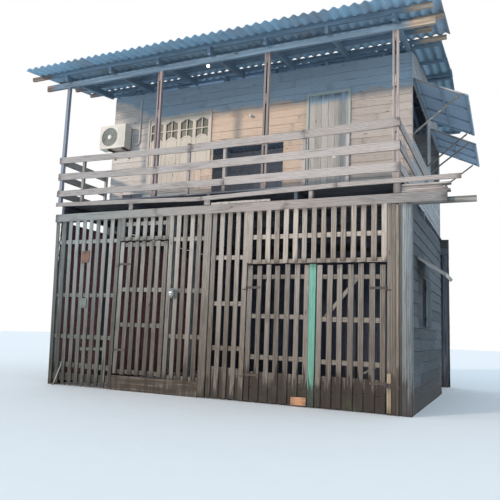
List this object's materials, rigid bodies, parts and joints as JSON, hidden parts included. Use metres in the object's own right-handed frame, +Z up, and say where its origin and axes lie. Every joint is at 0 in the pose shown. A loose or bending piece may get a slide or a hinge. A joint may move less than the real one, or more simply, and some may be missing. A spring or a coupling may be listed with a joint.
{
  "type": "stilt house",
  "caption": "Two-storey timber house on tall posts, with a slatted fence and gates below, a railed veranda above, side flaps and corrugated roofs.",
  "frame": {"origin": "centre of the plan, under the roofs' outline, at ground level", "axes": "+X along the street front to the right as seen from the street, +Y from the street to the back, +Z up"},
  "size_m": [9.09, 7.1754, 7.1588],
  "materials": {
    "weathered_wood": "weathered grey rough-sawn timber",
    "dark_wood": "dark damp rough-sawn timber",
    "hinge_metal": "rusty painted steel",
    "green_paint": "worn green paint on timber",
    "meter_case": "dusty grey moulding",
    "wall_boards": "faded horizontal boards",
    "flap_sheet": "dark blue-grey painted boards",
    "pane_glass": "dusty window panes",
    "roof_sheet": "weathered fibre cement",
    "cream_casing": "aged cream enamel",
    "pipe_sleeve": "white foam sleeve",
    "bulb_glass": "frosted lamp glass"
  },
  "bodies": {
    "house": {"front_posts": "weathered_wood", "inner_posts": "dark_wood", "front_beam": "weathered_wood", "inner_beams": "dark_wood", "side_beam": "weathered_wood", "floor_joists": "dark_wood", "floor_boards": "weathered_wood", "deck_edge_board": "weathered_wood", "fence_left": "weathered_wood", "fence_over_small_gate": "weathered_wood", "fence_middle": "weathered_wood", "fence_right": "weathered_wood", "fence_over_large_gate": "weathered_wood", "corner_boards": "weathered_wood", "gate_sill": "dark_wood", "gate_hinges": "hinge_metal", "electricity_meter": "meter_case", "ground_right_wall": "weathered_wood", "ground_left_wall": "weathered_wood", "ground_rear_wall": "weathered_wood", "side_window_shutter": "flap_sheet", "side_awning": "flap_sheet", "front_wall_left": "wall_boards", "front_wall_over_opening": "wall_boards", "front_wall_right": "wall_boards", "front_frames": "wall_boards", "window_leaves": "wall_boards", "window_glass": "pane_glass", "upper_door": "wall_boards", "right_wall_lower": "wall_boards", "right_wall_piers": "wall_boards", "right_wall_upper": "wall_boards", "left_wall": "wall_boards", "rear_wall": "wall_boards", "veranda_posts": "weathered_wood", "front_railing": "weathered_wood", "left_railing": "weathered_wood", "right_railing": "weathered_wood", "veranda_frame": "dark_wood", "main_frame": "dark_wood", "veranda_roof": "roof_sheet", "main_roof_front": "roof_sheet", "main_roof_rear": "roof_sheet", "ridge_cap": "roof_sheet", "front_flap": "flap_sheet", "rear_flap": "flap_sheet", "flap_struts": "weathered_wood", "ac_unit": "cream_casing", "ac_bracket": "hinge_metal", "ac_pipe": "pipe_sleeve", "bulb": "bulb_glass"},
    "small_gate": {"small_gate": "weathered_wood", "small_gate_straps": "hinge_metal"},
    "gate_left_leaf": {"large_gate_left": "weathered_wood", "left_leaf_straps": "hinge_metal", "green_board": "green_paint"},
    "gate_right_leaf": {"large_gate_right": "weathered_wood", "right_leaf_straps": "hinge_metal"}
  },
  "joints": [
    {"name": "small_gate_hinge", "type": "hinge", "parent": "house", "child": "small_gate", "pos_m": [-1.955, -3.04842, 1.5], "axis": [0, 0, -1], "range_deg": [0, 100]},
    {"name": "gate_left_leaf_hinge", "type": "hinge", "parent": "house", "child": "gate_left_leaf", "pos_m": [0.795, -3.04842, 1.2], "axis": [0, 0, -1], "range_deg": [0, 100]},
    {"name": "gate_right_leaf_hinge", "type": "hinge", "parent": "house", "child": "gate_right_leaf", "pos_m": [3.205, -3.04842, 1.2], "axis": [0, 0, 1], "range_deg": [0, 100]}
  ]
}
